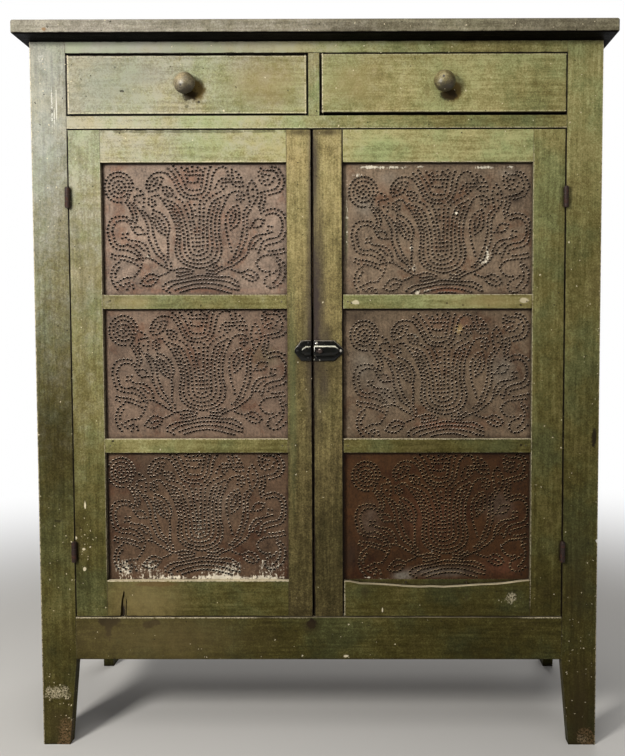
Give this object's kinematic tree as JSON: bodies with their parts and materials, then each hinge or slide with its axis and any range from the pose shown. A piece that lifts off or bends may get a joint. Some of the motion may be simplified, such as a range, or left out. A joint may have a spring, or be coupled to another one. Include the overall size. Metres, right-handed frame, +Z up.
{
  "type": "pie safe",
  "caption": "Painted wooden pie safe on legs: two drawers under an overhanging top, and a pair of framed doors with punched tin panels, butt hinges and an iron slide latch.",
  "frame": {"origin": "on the floor under the centre of the whole piece's footprint, which is the centre of the top", "axes": "+X to the right seen from the front, +Y to the back, +Z up"},
  "size_m": [1.048, 0.45, 1.298],
  "materials": {
    "case_paint": "worn olive green milk paint over wood, scratched to bare wood at the feet",
    "top_paint": "worn grey-green paint, rubbed brown",
    "door_paint": "worn olive green paint with grime at the meeting stiles",
    "drawer_paint": "worn yellow-green paint",
    "knob_paint": "handled green paint over turned wood",
    "bare_wood": "unpainted aged softwood",
    "tinplate": "oxidised punched tinplate, dull brown",
    "hinge_iron": "rusty dark brown iron",
    "latch_iron": "black japanned iron, rubbed glossy",
    "fastener_iron": "rusty iron nails, tacks and screws"
  },
  "bodies": {
    "case": {"back_boards": "bare_wood", "case_hinge_leaves": "hinge_iron", "case_hinge_screws": "fastener_iron", "case_nails": "fastener_iron", "door_stops": "bare_wood", "drawer_divider": "case_paint", "drawer_slides": "bare_wood", "floor_boards": "bare_wood", "front_bottom_rail": "case_paint", "front_left_post": "case_paint", "front_middle_rail": "case_paint", "front_right_post": "case_paint", "front_top_rail": "case_paint", "hinge_pins": "hinge_iron", "left_end_front_stile": "case_paint", "left_end_panels": "case_paint", "left_end_rails": "case_paint", "left_end_rear_stile": "case_paint", "rear_rails": "bare_wood", "right_end_front_stile": "case_paint", "right_end_panels": "case_paint", "right_end_rails": "case_paint", "right_end_rear_stile": "case_paint", "shelf_cleats": "bare_wood", "shelves": "bare_wood", "top_front_board": "top_paint", "top_rear_board": "top_paint"},
    "latch_bolt": {"latch_bolt": "latch_iron"},
    "right_door": {"latch_case": "latch_iron", "right_door_bars": "door_paint", "right_door_bottom_rail": "door_paint", "right_door_fixings": "fastener_iron", "right_door_hinge_leaves": "hinge_iron", "right_door_hinge_stile": "door_paint", "right_door_lower_tin": "tinplate", "right_door_meeting_stile": "door_paint", "right_door_middle_tin": "tinplate", "right_door_top_rail": "door_paint", "right_door_upper_tin": "tinplate"},
    "left_door": {"latch_keeper": "latch_iron", "left_door_bars": "door_paint", "left_door_bottom_rail": "door_paint", "left_door_fixings": "fastener_iron", "left_door_hinge_leaves": "hinge_iron", "left_door_hinge_stile": "door_paint", "left_door_lower_tin": "tinplate", "left_door_meeting_stile": "door_paint", "left_door_middle_tin": "tinplate", "left_door_top_rail": "door_paint", "left_door_upper_tin": "tinplate"},
    "left_drawer": {"left_drawer_back": "bare_wood", "left_drawer_bottom": "bare_wood", "left_drawer_front": "drawer_paint", "left_drawer_knob": "knob_paint", "left_drawer_sides": "bare_wood"},
    "right_drawer": {"right_drawer_back": "bare_wood", "right_drawer_bottom": "bare_wood", "right_drawer_front": "drawer_paint", "right_drawer_knob": "knob_paint", "right_drawer_sides": "bare_wood"}
  },
  "joints": [
    {"name": "left_door_hinge", "type": "hinge", "parent": "case", "child": "left_door", "pos_m": [-0.44375, -0.1859, 0.68], "axis": [0, 0, -1], "range_deg": [0, 170]},
    {"name": "right_door_hinge", "type": "hinge", "parent": "case", "child": "right_door", "pos_m": [0.44375, -0.1859, 0.68], "axis": [0, 0, 1], "range_deg": [0, 170]},
    {"name": "left_drawer_slide", "type": "slide", "parent": "case", "child": "left_drawer", "axis": [0, -1, 0], "range_m": [0, 0.3]},
    {"name": "right_drawer_slide", "type": "slide", "parent": "case", "child": "right_drawer", "axis": [0, -1, 0], "range_m": [0, 0.3]},
    {"name": "latch_bolt_slide", "type": "slide", "parent": "right_door", "child": "latch_bolt", "axis": [-1, 0, 0], "range_m": [0, 0.007]}
  ]
}
